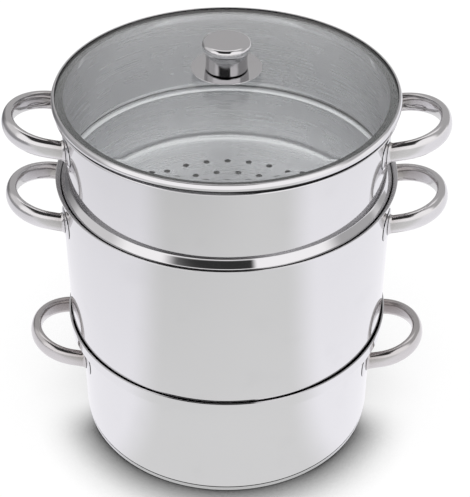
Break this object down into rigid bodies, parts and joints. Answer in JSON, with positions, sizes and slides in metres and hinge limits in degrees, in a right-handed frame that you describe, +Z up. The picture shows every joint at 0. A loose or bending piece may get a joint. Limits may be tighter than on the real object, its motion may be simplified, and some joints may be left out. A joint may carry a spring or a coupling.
{
  "type": "steam juicer",
  "caption": "Stove-top steam juicer: a water pan, a juice collector with a steam funnel and spout, a perforated steamer basket and a glass lid, stacked, with loop handles.",
  "frame": {"origin": "centre of the water pan's flat underside, on the cooker or table", "axes": "+Z up along the stack's axis; +X through the right-hand handles as seen from the front (-Y); the juice spout points along +Y, to the back"},
  "size_m": [0.3514, 0.3041, 0.3484],
  "materials": {
    "polished_steel": "mirror-polished stainless steel",
    "brushed_steel": "satin stainless steel",
    "bare_aluminium": "rolled, sealed in",
    "brass": "turned",
    "white_silicone": "matt translucent silicone",
    "clear_glass": "clear tempered glass"
  },
  "bodies": {
    "water_pan": {"water_pan_body": "polished_steel", "water_pan_base_cap": "brushed_steel", "water_pan_base_core": "bare_aluminium", "water_pan_handle_left": "polished_steel", "water_pan_handle_right": "polished_steel", "water_pan_plate_left_front": "polished_steel", "water_pan_plate_left_back": "polished_steel", "water_pan_plate_right_front": "polished_steel", "water_pan_plate_right_back": "polished_steel"},
    "juice_collector": {"juice_collector_body": "polished_steel", "steam_funnel": "polished_steel", "juice_spout": "brushed_steel", "spout_outer_seal": "white_silicone", "spout_inner_seal": "white_silicone", "spout_lock_nut": "brushed_steel", "juice_collector_handle_left": "polished_steel", "juice_collector_handle_right": "polished_steel", "juice_collector_plate_left_front": "polished_steel", "juice_collector_plate_left_back": "polished_steel", "juice_collector_plate_right_front": "polished_steel", "juice_collector_plate_right_back": "polished_steel"},
    "steamer_basket": {"steamer_basket_body": "polished_steel", "steamer_basket_handle_left": "polished_steel", "steamer_basket_handle_right": "polished_steel", "steamer_basket_plate_left_front": "polished_steel", "steamer_basket_plate_left_back": "polished_steel", "steamer_basket_plate_right_front": "polished_steel", "steamer_basket_plate_right_back": "polished_steel"},
    "lid": {"lid_glass": "clear_glass", "lid_rim_band": "polished_steel", "lid_knob_cap": "polished_steel", "lid_knob_body": "polished_steel", "lid_knob_insert": "brass", "lid_knob_saucer": "polished_steel", "lid_knob_upper_seal": "white_silicone", "lid_knob_lower_seal": "white_silicone", "lid_knob_steel_washer": "brushed_steel", "lid_knob_screw": "brushed_steel"}
  },
  "joints": [
    {"name": "collector_lift", "type": "slide", "parent": "water_pan", "child": "juice_collector", "axis": [0, 0, 1], "range_m": [0, 0.08]},
    {"name": "basket_lift", "type": "slide", "parent": "juice_collector", "child": "steamer_basket", "axis": [0, 0, 1], "range_m": [0, 0.12]},
    {"name": "lid_lift", "type": "slide", "parent": "steamer_basket", "child": "lid", "axis": [0, 0, 1], "range_m": [0, 0.08]}
  ]
}
